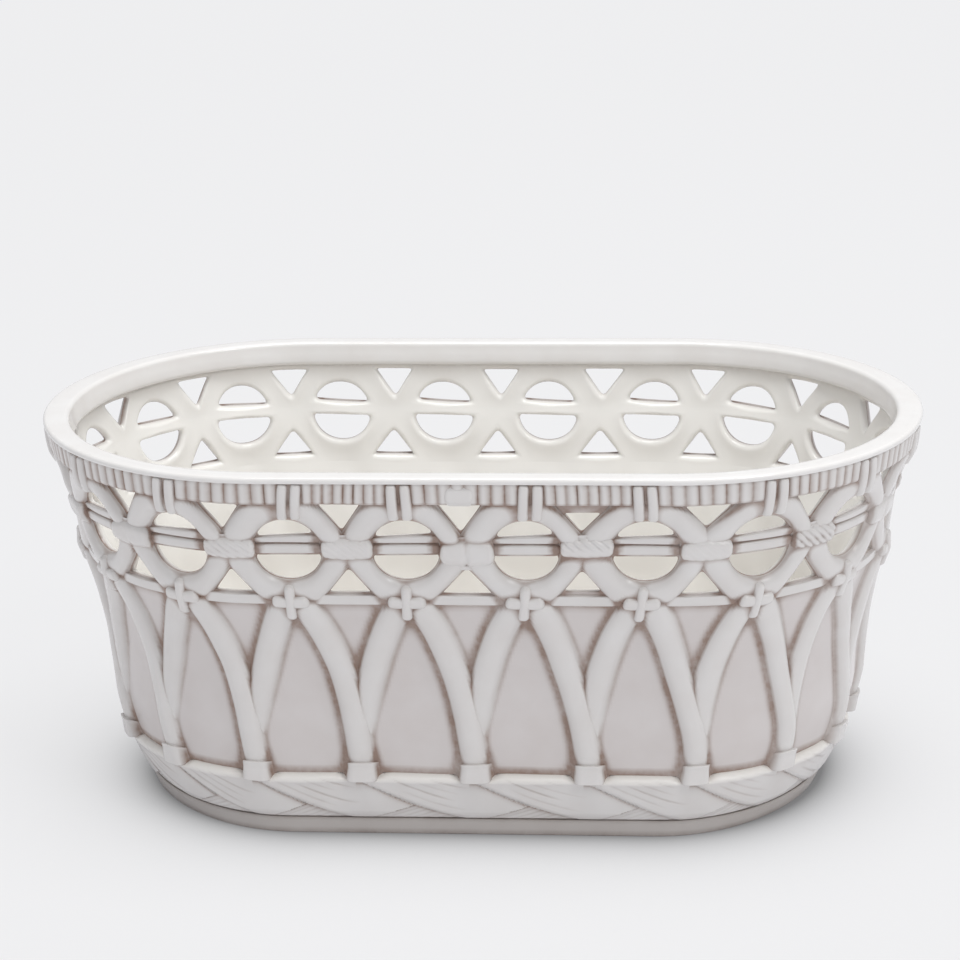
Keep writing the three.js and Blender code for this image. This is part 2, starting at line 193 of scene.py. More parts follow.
def on_wall(a, z, d):
    """Place of a distance a round the wall, a height z and a rise d above the panels.

    The oval is two straight sides joined by half circles. The modules stand a little wider apart
    along the sides than round the ends. A slow drift of a few tenths keeps the hand in it. The base
    narrows more at the ends than at the sides, and the strands lie flatter there.
    """
    a, z, d = np.broadcast_arrays(np.asarray(a, float), np.asarray(z, float), np.asarray(d, float))
    calm = np.clip((z - SHELL_Z) / 20, 0, 1) * np.clip((COLLAR_TOP - z) / 12, 0, 1)
    phi = 2 * np.pi * (a + calm * drift(a, z, *DRIFT_ALONG)) / GIRTH
    phi = (phi + np.pi) % (2 * np.pi) - np.pi
    far_heights = ease((z - 50) / 60) * ease((149 - z) / 13)
    loose = z + calm * drift(a, z, *DRIFT_UP) + FAR_LIFT * far_share(phi) * far_heights
    spread = SPREAD_AT_FOOT + (SPREAD_AT_TOP - SPREAD_AT_FOOT) * z / HEIGHT
    turn = phi / (2 * np.pi) + spread * np.sin(2 * phi) / (4 * np.pi)
    s = np.abs(turn) * girth(z)
    side = np.where(turn < 0, -1.0, 1.0)
    c, r = half_straight(z), panel_radius(z)
    at_ends = np.exp(-(((np.abs(phi) - np.pi / 2) / 0.25) ** 2)) * ease((z - 112) / 12) * ease((162 - z) / 8)
    out = r + d * (1 - FLATTER_AT_ENDS * at_ends * (d > 0)) + calm * drift(a, z, *DRIFT_OUT)
    angle = np.clip((s - c) / r, 0, np.pi)
    past = np.maximum(0, s - c - np.pi * r)
    x = np.minimum(s, c) - past + out * np.sin(angle)
    base_in = np.where(turn < 0, BASE_DRAWN_IN["left"], BASE_DRAWN_IN["right"])
    x = x - base_in * np.clip(1 - z / BASE_DRAWN_TO, 0, 1) ** 1.4 * ease((x - 50) / 110)
    return np.stack([side * x, -out * np.cos(angle), loose], -1)


def grid_faces(rows, columns, wrap_rows, wrap_columns):
    """Quads between neighbouring points of a grid, joined end to end where it wraps."""
    i = np.arange(rows if wrap_rows else rows - 1)[:, None]
    j = np.arange(columns if wrap_columns else columns - 1)[None, :]
    right, up = (i + 1) % rows, (j + 1) % columns
    corners = (i * columns + j, right * columns + j, right * columns + up, i * columns + up)
    return np.stack(np.broadcast_arrays(*corners), -1).reshape(-1, 4)


def section(u, power=2.5):
    """Height of a strand at u half-widths from its middle, as a share of its rise.

    It is a flattened round, (1 - |u|^power)^0.62, whose foot flares where glaze fills the corner.
    """
    raw = 1 - np.abs(u) ** power
    return ((raw + np.sqrt(raw ** 2 + 0.02)) / 2) ** 0.62 - 0.06


def strand(path, half, rise, base=0.0, closed=False, tip=3.0, drop=0.0, power=2.5, skirt=1.3):
    """A strand along a path of (a, z) points, with its half-width, rise and base at each point.

    Its open ends are rounded over the length of the tip, like an ellipse, and close in a point.
    Over the length of the drop its base falls to the wall, where it bends down over a cane. The
    skirt is how far its flanks run out along the wall, in half-widths.
    """
    path = np.asarray(path, float)
    count = len(path)
    if closed:
        ahead = np.roll(path, -1, 0) - np.roll(path, 1, 0)
    else:
        ahead = np.gradient(path, axis=0)
    ahead /= np.linalg.norm(ahead, axis=1, keepdims=True)
    across = np.stack([-ahead[:, 1], ahead[:, 0]], -1)
    ends = np.ones(count)
    base, rise = np.broadcast_to(base, count), np.broadcast_to(rise, count)
    if not closed:
        run = np.concatenate([[0], np.cumsum(np.linalg.norm(np.diff(path, axis=0), axis=1))])
        near = np.minimum(run, run[-1] - run)
        ends = np.sqrt(np.clip(1 - (1 - np.clip(near / tip, 0, 1)) ** 2, 0, 1))
        if drop > 0:
            held = np.sqrt(np.clip(near / drop, 0, 1))
            rise = rise + base * (1 - held)
            base = base * held
    return {
        "path": path,
        "side": across * (np.broadcast_to(half, count) * ends)[:, None],
        "rise": rise * ends,
        "base": base,
        "closed": closed,
        "power": power,
        "skirt": skirt,
    }


def bezier(points, count):
    """Cubic Bezier curve through four (a, z) points, with its samples denser toward both ends."""
    t = (1 - np.cos(np.pi * np.linspace(0, 1, count)))[:, None] / 2
    p0, p1, p2, p3 = (np.asarray(p, float) for p in points)
    return (1 - t) ** 3 * p0 + 3 * t * (1 - t) ** 2 * p1 + 3 * t ** 2 * (1 - t) * p2 + t ** 3 * p3


def line(start, end, count):
    """Straight path between two (a, z) points, with its samples denser toward both ends."""
    t = (1 - np.cos(np.pi * np.linspace(0, 1, count)))[:, None] / 2
    return np.asarray(start, float) * (1 - t) + np.asarray(end, float) * t


def sweep(cane, shift=0.0, shape=None, points=SECTION_POINTS):
    """Closed tube of a strand: its section carried along its path, with a point under its middle."""
    u = cane["skirt"] * np.sin(np.linspace(-np.pi / 2, np.pi / 2, points))
    u = np.append(u, 0.0)
    height = section(u, cane["power"])
    height[[0, -2]] = -0.09
    height[-1] = -0.25
    place = cane["path"][:, None] + cane["side"][:, None] * u[None, :, None]
    d = cane["base"][:, None] + cane["rise"][:, None] * height
    a, z = place[..., 0] + shift, place[..., 1]
    if shape is not None:
        d = d + shape(place[..., 0], z) * (height > 0.3)
    faces = grid_faces(*d.shape, wrap_rows=cane["closed"], wrap_columns=True)
    return a.ravel(), z.ravel(), d.ravel(), faces


# The shapes of one module, about a binding at a = 0 or a ring's middle at a = 0


def higher_top(k):
    """How far the top of the opening of ring k lies over its usual place, from 0 at the front."""
    if k is None:
        return 0.0
    turn = (2 * math.pi * (k + 0.5) / MODULES + math.pi) % (2 * math.pi) - math.pi
    return FAR_OPENING_RISE * float(far_share(turn))


def opening_edge(angle, grow=0.0, k=None):
    """Edge of a ring's opening in polar form: a superellipse that is a little wider below."""
    x, z = np.cos(angle), np.sin(angle)
    wide = OPENING[0] / 2 + 0.3 - 0.6 * z + grow
    tall = OPENING[1] / 2 + np.where(z < 0, 0.2, higher_top(k) - 0.9) + grow
    reach = (np.abs(x / wide) ** OPENING_POWER + np.abs(z / tall) ** OPENING_POWER) ** (-1 / OPENING_POWER)
    return np.stack([x * reach, OPENING_Z + z * reach], -1)


def cut_by_hand(holes, k):
    """Size of the hole at binding k: as listed, or the usual one with a slow change from hole to hole."""
    usual, listed = holes
    if k is None:
        return usual
    k %= MODULES
    if k in listed:
        return listed[k]
    width, low, high, shift = usual
    width, high = width + 0.9 * math.sin(2.3 * k), high + 0.4 * math.sin(3.1 * k)
    return width, low, high, shift + 0.6 * math.sin(1.7 * k)


def ring_edge(x, z, k=None):
    """Reach of ring k from its middle along unit directions (x, z).

    Eight straight lines bound the ring: the collar, the tie, the bindings' middles, and the four
    slanting sides of the holes. A power mean of them rounds the corners. With no number it is
    the usual ring.
    """
    half = PITCH / 2
    sharpness = 24
    past_middle = half + 5.5
    lines = [(1.0, 0.0, past_middle), (-1.0, 0.0, past_middle), (0.0, 1.0, COLLAR_Z + 3.0 - OPENING_Z),
             (0.0, -1.0, OPENING_Z - TIE_Z + 1.4)]
    for side in (-1, 1):
        neighbour = None if k is None else k + (side > 0)
        for holes, upper in ((UPPER_HOLES, True), (LOWER_HOLES, False)):
            width, low, high, shift = cut_by_hand(holes, neighbour)
            middle = side * half + shift
            corner = np.array([middle - side * width / 2, (high if upper else low) - OPENING_Z])
            tip = np.array([middle, (low if upper else high) - OPENING_Z])
            run = tip - corner
            normal = np.array([side * abs(run[1]), abs(run[0]) * np.sign(corner[1])]) / np.hypot(*run)
            lines.append((*normal, float(normal @ corner) - 0.4))
    total = sum((np.maximum(x * nx + z * nz, 0.01) / reach) ** sharpness for nx, nz, reach in lines)
    return total ** (-1 / sharpness)


def ring_cane(k=None):
    """Closed loop of cane between the edge of its opening and the edges of the holes round it.

    Both edges are curves in polar form about the opening's middle. Toward the right binding the cane
    rides up a little over its neighbour.
    """
    angle = np.linspace(0, 2 * np.pi, 144, endpoint=False)
    x, z = np.cos(angle), np.sin(angle)
    inner = opening_edge(angle, 0.3, k)
    reach = ring_edge(x, z, k)
    outer = np.stack([x * reach, OPENING_Z + z * reach], -1)
    near_binding = np.exp(-(((angle - 0.45) / 0.26) ** 2))
    rise = CANE_RISE + 0.7 * near_binding + 0.5 * np.clip(z, 0, 1) ** 2
    cane = strand((inner + outer) / 2, 1.0, rise, closed=True, power=2.3, skirt=1.05)
    cane["side"] = (outer - inner) / 2.04
    return cane


def web_reeds():
    """Two flat reeds across a ring's opening, the upper one thinner, which climb to the right."""
    reach = OPENING[0] / 2 + 1.5
    upper, lower = (line((-reach, left), (reach, right), 24) for left, right in (UPPER_REED, LOWER_REED))
    return [strand(upper, 1.75 + 0.03 * upper[:, 0], 1.3, power=5),
            strand(lower, 2.45, 1.7, power=5)]


def binding_knot(lift=0.0, tall=1.0):
    """Band over the two canes that meet: a broad strand that runs across them."""
    reach = BINDING[0] / 2
    path = line((0.6 - reach, BINDING_Z + lift), (0.6 + reach, BINDING_Z + lift), 56)
    round_ends = 0.92 + 0.08 * np.cos(np.pi * (path[:, 0] - 0.6) / reach)
    return strand(path, BINDING[1] / 2 * tall * round_ends, 3.0, base=2.5, tip=2.2, drop=4.0, power=3)


def twin_wraps(lean=0.0):
    """Two upright strands from under the lip to the edge of the opening."""
    wraps = []
    for side in (-0.5, 0.5):
        a = side * WRAP_SPREAD
        path = line((a, COLLAR_TOP + 0.2), (a * 1.04 - lean, OPENING_Z + OPENING[1] / 2 + 0.4), 34)
        high = (path[:, 1] - path[-1, 1]) / (path[0, 1] - path[-1, 1])
        wraps.append(strand(path, 2.3, 2.9, base=2.7 + 0.6 * high, tip=0.9, drop=2.5, power=3.5))
    return wraps


def cross_tie():
    """Bar over the rail, and an upright strand that ends in a small round head over the bar."""
    bar_path = line((-8.9, TIE_Z - 0.4), (7.8, TIE_Z - 0.4), 32)
    bar_path[:, 1] += 0.6 * (bar_path[:, 0] / 8) ** 2
    bar = strand(bar_path, 3.4, 3.2, base=2.4, tip=2.0, drop=3.0, power=3)
    path = line((-1.3, HEIGHT - 70.2), (-0.1, HEIGHT - 52.2), 44)
    hump = np.exp(-(((path[:, 1] - TIE_Z) / 3.4) ** 2))
    upright = strand(path, 2.5, 3.2 + 0.5 * hump, base=2.6, tip=2.2, drop=3.0, power=3)
    return [bar, upright]


def rail_strip():
    """Flat strip between two ties, whose upper edge sags under the hole above it."""
    a = np.linspace(-18.0, 18.0, 44)
    sag = np.cos(np.pi * a / 36)
    middle = (RAIL_Z + RAIL_TOP) / 2 - 0.2 - 0.35 * sag
    return strand(np.stack([a, middle], -1), 2.95 - 0.3 * sag, 1.6, tip=1.0, power=9)


def arch_canes():
    """Right and left cane of a pointed arch, from under its tie down to its two stems.

    The right cane comes down in front and makes the stem. The left one tucks in behind the stem of
    the arch before it.
    """
    half = PITCH / 2
    foot = PLAIT_TOP - 1
    front = bezier(((2.5, ARCH_TOP), (13.0, 101), (half, 62), (half + STEM_SHIFT, foot)), 64)
    back = bezier(((-2.5, ARCH_TOP), (-13.8, 101), (1.3 - half, 64), (-2.0 - half, foot)), 64)
    down = np.clip((ARCH_TOP - front[:, 1]) / (ARCH_TOP - PLAIT_TOP), 0, 1)
    tuck = ease((84 - back[:, 1]) / 40)
    return [strand(front, 6.5 - 0.6 * down, CANE_RISE + 0.5 + 0.2 * down),
            strand(back, 6.4 - 1.1 * tuck, CANE_RISE + 0.5 - 2.3 * tuck)]


def cuff(rise=6.0):
    """Sleeve over a stem, a short broad strand whose foot lies on the plait."""
    path = line((STEM_SHIFT, PLAIT_TOP - 2.5), (STEM_SHIFT, PLAIT_TOP + CUFF[1] - 2.7), 34)
    low = np.clip((PLAIT_TOP + 4 - path[:, 1]) / 6, 0, 1)
    return strand(path, CUFF[0] / 2 + 0.8 * low, rise + 1.0 * low, tip=0.7, power=7)


def module_strands():
    """Each strand of a module with the place of its middle, in pitches."""
    strands = [(0.5, ring_cane()), (0.0, binding_knot()), (0.0, rail_strip()), (0.0, cuff(4.6))]
    for group in (web_reeds(), twin_wraps(), cross_tie(), arch_canes()):
        strands += [(0.5, cane) for cane in group]
    return strands


# The relief of one module as a map of heights, which tells where glaze and wash pool and where shade is
# painted

MAP_COLUMNS = 100
MAP_STEP = PITCH / MAP_COLUMNS
MAP_LOW = SHELL_Z - 4


def draw_relief():
    """Greatest height of any strand over each point of a grid that covers one module."""
    columns = np.arange(MAP_COLUMNS) * MAP_STEP
    rows = np.arange(MAP_LOW, HEIGHT + 4, MAP_STEP)
    a, z = np.meshgrid(columns, rows)
    relief = np.zeros(a.shape)
    for place, cane in module_strands():
        half = np.linalg.norm(cane["side"], axis=1)
        for turn in (-1, 0, 1):
            path = cane["path"] + [(place + turn) * PITCH, 0]
            reach = half.max() * 1.3
            if path[:, 0].max() + reach < 0 or path[:, 0].min() - reach > PITCH:
                continue
            rows_near = (rows > path[:, 1].min() - reach) & (rows < path[:, 1].max() + reach)
            gap = np.hypot(a[rows_near, :, None] - path[:, 0], z[rows_near, :, None] - path[:, 1])
            away = np.minimum(gap / np.maximum(half, 0.1), 1.3)
            height = cane["base"] + cane["rise"] * section(away, cane["power"])
            height[away > 1.15] = 0
            relief[rows_near] = np.maximum(relief[rows_near], height.max(-1))
    for banded, height in ((rows > COLLAR_Z, 4.6), (rows < PLAIT_TOP, 4.0)):
        relief[banded] = np.maximum(relief[banded], height)
    return relief


def soften(field, radius):
    """Field averaged with a bell curve of the given radius, which wraps round in a."""
    reach = int(math.ceil(3 * radius / MAP_STEP))
    bell = np.exp(-0.5 * (np.arange(-reach, reach + 1) * MAP_STEP / radius) ** 2)
    bell /= bell.sum()
    padded = np.pad(field, ((reach, reach), (0, 0)), mode="edge")
    across = sum(w * padded[i:i + len(field)] for i, w in enumerate(bell))
    return sum(w * np.roll(across, reach - i, axis=1) for i, w in enumerate(bell))


def read_map(field, a, z):
    """Field's value at points on the wall, by straight interpolation between its grid points."""
    x = (np.asarray(a) % PITCH) / MAP_STEP
    y = np.clip((np.asarray(z) - MAP_LOW) / MAP_STEP, 0, len(field) - 1.001)
    i, j = np.floor(x).astype(int), np.floor(y).astype(int)
    s, t = x - i, y - j
    i, right = i % MAP_COLUMNS, (i + 1) % MAP_COLUMNS
    low = field[j, i] * (1 - s) + field[j, right] * s
    high = field[j + 1, i] * (1 - s) + field[j + 1, right] * s
    return low * (1 - t) + high * t


RELIEF = draw_relief()
RELIEF_NEAR = soften(RELIEF, 2.2)
RELIEF_WIDE = soften(RELIEF, 4.0)


def wash_and_shade_in_hollows(a, z, d):
    """How much wash and painted shade a point of the outside gets, from 0 to 1.

    The taupe wash pools where the surface lies lower than the relief around it, within about 3 mm, and
    the same darkening paints the shade in those hollows. It is read a little to the right, so it falls
    more on the left of a strand than on its right, as painted shade from light at the right. Inside a
    hole it thins out.
    """
    rise = np.maximum(d, 0)
    # Read to the right of the point, so the painted shade falls on the left of each strand
    low = np.maximum(read_map(RELIEF_NEAR, a + 0.6, z + 0.2) - rise - 0.15, 0)
    wide = np.maximum(read_map(RELIEF_WIDE, a + 1.0, z) - rise - 0.55, 0)
    return np.clip(low / 0.82 + wide / 3.5, 0, 1) * np.exp(np.minimum(d, 0) / 1.5)


# Meshes and pieces


def build_piece(name, parts, node, slot="relief_glaze"):
    """Welds (a, z, d, faces, wash and painted shade, lined) parts into one mesh, in place of a node of the
    frame.
    """
    points, faces, wash_and_shade, inside = [], [], [], []
    start = 0
    for a, z, d, quads, washed_and_shaded, lined in parts:
        # The wash was wiped off more thoroughly round the right end
        # Round the right end there is less wash and painted shade, so it is lighter
        right = (a / GIRTH - 0.25 + 0.5) % 1 - 0.5
        washed_and_shaded = washed_and_shaded * (1 - LIGHTER_AT_RIGHT * np.exp(-((right / LIGHTER_OVER) ** 2)))
        points.append(on_wall(a, z, d).reshape(-1, 3) * MM)
        count = len(points[-1])
        faces.append(quads + start)
        wash_and_shade.append(np.broadcast_to(washed_and_shaded, count))
        inside.append(np.broadcast_to(lined, count))
        start += count
    points, faces = np.concatenate(points), np.concatenate(faces)
    mesh = bpy.data.meshes.new(name)
    mesh.vertices.add(len(points))
    mesh.vertices.foreach_set("co", points.ravel())
    mesh.loops.add(faces.size)
    mesh.loops.foreach_set("vertex_index", faces.ravel().astype(np.int32))
    mesh.polygons.add(len(faces))
    mesh.polygons.foreach_set("loop_start", np.arange(0, faces.size, 4, dtype=np.int32))
    mesh.update(calc_edges=True)
    for label, values in (("wash_and_shade", wash_and_shade), ("inside", inside)):
        layer = mesh.attributes.new(label, "FLOAT", "POINT")
        layer.data.foreach_set("value", np.concatenate(values).astype(np.float32))
    solid = bmesh.new()
    solid.from_mesh(mesh)
    bmesh.ops.remove_doubles(solid, verts=solid.verts, dist=2e-6)
    bmesh.ops.recalc_face_normals(solid, faces=solid.faces)
    solid.to_mesh(mesh)
    solid.free()
    mesh.shade_smooth()
    mesh.set_sharp_from_angle(angle=SHARP_ANGLE)
    piece = bpy.data.objects.new(name, mesh)
    bpy.context.scene.collection.objects.link(piece)
    mesh.materials.append(GLAZES[slot])
    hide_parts(node)
    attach(piece, "root")


def part(a, z, d, wash_and_shade, lined=0.0, closed=True):
    """Part of a piece from a grid that is joined round the oval, and along its columns if closed."""
    a, z, d, wash_and_shade, lined = np.broadcast_arrays(a, z, d, wash_and_shade, lined)
    faces = grid_faces(*d.shape, wrap_rows=True, wrap_columns=closed)
    return a.ravel(), z.ravel(), d.ravel(), faces, wash_and_shade.ravel(), lined.ravel()


def outside(a, z, d, faces):
    """Part of a piece that lies on the outside, with the wash and painted shade that pool on it."""
    return a, z, d, faces, wash_and_shade_in_hollows(a, z, d), 0.0


def round_the_oval(steps_to_module=STEPS_PER_MODULE):
    """Even steps round the oval."""
    steps = MODULES * steps_to_module
    return np.arange(steps) * GIRTH / steps


def over_panels(points):
    """Heights of a profile's (z, radius) points, and their rises over the panels."""
    z, radius = np.array(points, float).T
    return z, radius - panel_radius(z)


def hoop(z, d, wash_and_shade):
    """Closed profile of heights and rises carried round the oval."""
    return part(round_the_oval()[:, None], z, d, wash_and_shade)


def inner_rise(a, z):
    """Rise of the wall's inner face, which follows the relief outside softly, as in a cast."""
    thickness = np.interp(z, (BAND_Z - 20, BAND_Z, RING_Z, COLLAR_Z), (WALL, 4.7, 4.4, TOP_WALL))
    calm = ease((z - 45) / 30) * ease((BAND_TOP - z) / 15)
    return -thickness + INSIDE_FOLLOW * calm * (read_map(RELIEF_WIDE, a, z) - 1.5)


def arc(centre, radius, start, end, count):
    """Points (z, d) on an arc, with angles in degrees from the d axis toward the z axis."""
    angle = np.radians(np.linspace(start, end, count))
    return [(centre[0] + radius * math.sin(t), centre[1] + radius * math.cos(t)) for t in angle]


def cast_bowl():
    """Floor and wall up to the pierced band: one closed profile carried round the oval."""
    wall_z = np.linspace(BAND_Z, PLAIT_TOP + 0.3, 44)
    recess = RIM_RADIUS - 32.5
    floor_radius = recess - 6.2
    cove_radius = 9.0
    join_z = 34
    under = [(PLAIT_TOP, recess), (SHELL_Z, recess), (SHELL_Z, recess - 20), (SHELL_Z, 30), (SHELL_Z, 0)]
    cove = arc((FLOOR_Z + cove_radius, floor_radius - cove_radius), cove_radius, -90, 0, 9)
    top_z = np.linspace(join_z, BAND_Z, 30)
    low_z, low_d = over_panels(under + [(FLOOR_Z, 0), (FLOOR_Z, 30)] + cove)
    z = np.concatenate([wall_z, low_z, top_z])
    grid_a, grid_z = np.meshgrid(round_the_oval(), z, indexing="ij")
    d = np.zeros(grid_a.shape)
    d[:, len(wall_z):len(wall_z) + len(low_z)] = low_d
    rising = slice(len(wall_z) + len(low_z), None)
    join = np.clip((top_z - join_z) / 30, 0, 1)
    straight = floor_radius - panel_radius(FLOOR_Z + cove_radius)
    d[:, rising] = inner_rise(grid_a[:, rising], grid_z[:, rising]) * join + straight * (1 - join)
    outer_face = np.arange(len(z)) < len(wall_z)
    lining = np.arange(len(z)) >= len(wall_z) + len(under)
    # Glaze settled on the floor, so it is a little darker there
    settled = 0.45 * np.clip((FLOOR_Z + cove_radius - grid_z) / 6, 0, 1)
    wash_and_shade = np.where(outer_face, wash_and_shade_in_hollows(grid_a, grid_z, d), np.where(lining, settled, 0.0))
    return [part(grid_a, grid_z, d, wash_and_shade, lining * 1.0)]


def rounded(corners, radii):
    """Closed outline through corners, each cut back by its radius and rounded with a quadratic curve.

    Every edge gets ten points more, which keep it straight when the outline is read in polar form.
    """
    corners = np.asarray(corners, float)
    outline = []
    for i, (corner, radius) in enumerate(zip(corners, radii)):
        if radius == 0:
            outline.append(corner)
            continue
        ends = [corner + (other - corner) * radius / np.linalg.norm(other - corner)
                for other in (corners[i - 1], corners[(i + 1) % len(corners)])]
        for t in np.linspace(0, 1, 9):
            outline.append((1 - t) ** 2 * ends[0] + 2 * t * (1 - t) * corner + t ** 2 * ends[1])
    steps = np.linspace(0, 1, 11, endpoint=False)[:, None]
    following = outline[1:] + outline[:1]
    return np.concatenate([start + (end - start) * steps for start, end in zip(outline, following)])


def moon(upper, k):
    """Half-moon hole: the opening's edge, cut off along the sloping web, with soft corners."""
    sign = 1 if upper else -1
    edge, slope = (WEB[1], WEB_SLOPE[1]) if upper else (WEB[0], WEB_SLOPE[0])
    count = 30
    angles = np.linspace(0, np.pi / 2, 200)
    high = np.abs(opening_edge(sign * angles, k=k)[:, 1] - OPENING_Z)
    levels = [abs(edge + side * slope * OPENING[0] / 2 - OPENING_Z) for side in (1, -1)]
    starts = np.interp(levels, high, angles)
    right, left = sign * starts[0], sign * (np.pi - starts[1])
    between = np.linspace(right + sign * 0.2, left - sign * 0.2, count)
    corners = opening_edge(np.array([right, *between, left]), k=k)
    return rounded(corners, [MOON_CORNER, *[0] * count, MOON_CORNER])


def triangle(hole, upper):
    """Three-sided hole with soft corners and its tip turned toward the binding."""
    width, low, high, shift = hole
    base, tip = (high, low) if upper else (low, high)
    return rounded([(shift - width / 2, base), (shift + width / 2, base), (shift, tip)], TRIANGLE_CORNERS)


def border(corners, counts):
    """Points along a closed outline, with a given number of even steps on each of its edges."""
    points = []
    for i, count in enumerate(counts):
        start, end = np.asarray(corners[i], float), np.asarray(corners[(i + 1) % len(corners)], float)
        points.append(start + (end - start) * (np.arange(count) / count)[:, None])
    return np.concatenate(points)


def pierced_cell(hole, edge):
    """Wall round one hole, from the cell's edge over the soft lip, through the wall and out again.

    Each ray from the hole's middle to a point of the cell's edge crosses the hole's outline once.
    Along the ray the profile runs flat, turns a quarter circle, passes through and mirrors this.
    """
    middle = (hole.max(0) + hole.min(0)) / 2
    ray = hole - middle
    order = np.argsort(np.arctan2(ray[:, 1], ray[:, 0]))
    bearing = np.arctan2(ray[order, 1], ray[order, 0])
    reach = np.linalg.norm(ray[order], axis=1)
    way = edge - middle
    hole_reach = np.interp(np.arctan2(way[:, 1], way[:, 0]), bearing, reach, period=2 * np.pi)
    edge_reach = np.linalg.norm(way, axis=1)
    unit = way / edge_reach[:, None]
    room = edge_reach - hole_reach
    lip_out, lip_in = np.minimum(0.8, room * 0.5), np.minimum(2.6, room * 0.7)
    quarter = np.radians(np.linspace(0, 90, 4))
    steps = [(lip_out + (room - lip_out) * share, 0 * room, 0, 0.0) for share in (1, 0.5)]
    for lip, turns, side, linings in ((lip_out, quarter, 0, (0.0, 0.1, 0.3, 0.45)),
                                      (lip_in, quarter[::-1], 1, (0.7, 0.9, 1.0, 1.0))):
        steps += [(lip * (1 - math.sin(t)), lip * (1 - math.cos(t)), side, lined)
                  for t, lined in zip(turns, linings)]
    steps += [(lip_in + (room - lip_in) * share, 0 * room, 1, 1.0) for share in (0.25, 0.5, 0.75, 1)]
    away, depth = (np.stack([step[i] for step in steps], -1) for i in (0, 1))
    inner, lined = (np.array([step[i] for step in steps]) for i in (2, 3))
    place = middle + unit[:, None] * (hole_reach[:, None] + away)[..., None]
    return place[..., 0], place[..., 1], depth, inner, np.broadcast_to(lined, away.shape)


def pierced_band():
    """Band with four holes to a module, each in its own cell, between the bowl and the collar."""
    fine = STEPS_PER_MODULE
    unit = PITCH / fine
    top, bottom, slant_up, slant_down = 11, 15, 20, 25
    crossing, half = (0, WEB_Z), PITCH / 2
    up_left, up_right = (-top * unit, BAND_TOP), (top * unit, BAND_TOP)
    low_left, low_right = (-bottom * unit, BAND_Z), (bottom * unit, BAND_Z)
    over = border([crossing, up_right, up_left], [slant_up, 2 * top, slant_up])
    under = border([crossing, low_left, low_right], [slant_down, 2 * bottom, slant_down])
    high_out, low_out = half - top * unit, half - bottom * unit
    above = border([(half, WEB_Z), (high_out, BAND_TOP), (-high_out, BAND_TOP), (-half, WEB_Z)],
                   [slant_up, fine - 2 * top, slant_up, fine])
    below = border([(-half, WEB_Z), (-low_out, BAND_Z), (low_out, BAND_Z), (half, WEB_Z)],
                   [slant_down, fine - 2 * bottom, slant_down, fine])
    parts = []
    for k in range(MODULES):
        upper_hole = triangle(cut_by_hand(UPPER_HOLES, k), True)
        lower_hole = triangle(cut_by_hand(LOWER_HOLES, k), False)
        cells = ((0, upper_hole, over), (0, lower_hole, under), (0.5, moon(True, k), above),
                 (0.5, moon(False, k), below))
        for hole_place, hole, edge in cells:
            a, z, depth, inner, lined = pierced_cell(hole, edge)
            around = a + (k + hole_place) * PITCH
            d = np.where(inner > 0, inner_rise(around, z) + depth, -depth)
            # Inside, under the throat, a painted shadow of the overhang darkens the lining; the walls of the
            # holes are darker midway through the wall
            painted_shadow_under_lip = 0.3 * np.exp((z - BAND_TOP) / 4)
            wash_and_shade = np.where(inner > 0, painted_shadow_under_lip + 0.5 * (1 - lined), wash_and_shade_in_hollows(around, z, d) + 0.8 * lined)
            parts.append(part(around, z, d, wash_and_shade, lined, closed=False))
    # Flat strips close the wall over and under the cells
    a = np.arange(MODULES * fine)[:, None] * PITCH / fine
    for level in (BAND_Z, BAND_TOP):
        d = inner_rise(a, level) * [0, 1]
        parts.append(part(a, level, d, 0.0, [0.0, 1.0], closed=False))
    return parts


def lip_profile():
    """Flat lip with a soft outer edge, and the throat that hangs inside the wall."""
    edge, inner = RIM_RADIUS, RIM_RADIUS - 10.4
    throat = HEIGHT - 11.1
    points = [(LIP_Z - 0.1, edge - 6), (LIP_Z - 0.1, edge - 1.6)]
    points += arc((LIP_Z + 1.3, edge - 1.4), 1.4, -80, 0, 5)
    points += arc((HEIGHT - 1.6, edge - 1.6), 1.6, 0, 90, 6)
    points += [(HEIGHT, edge - 4.5), (HEIGHT, inner + 3.6)]
    points += arc((HEIGHT - 2.2, inner + 2.6), 2.2, 90, 180, 6)
    points += [(HEIGHT - 5, inner - 0.4), (throat + 2.5, inner - 1.4)]
    points += arc((throat + 1.8, inner + 0.4), 1.8, 180, 260, 6)
    points += [(LIP_Z - 0.1, inner + 1.6)]
    return over_panels(points)


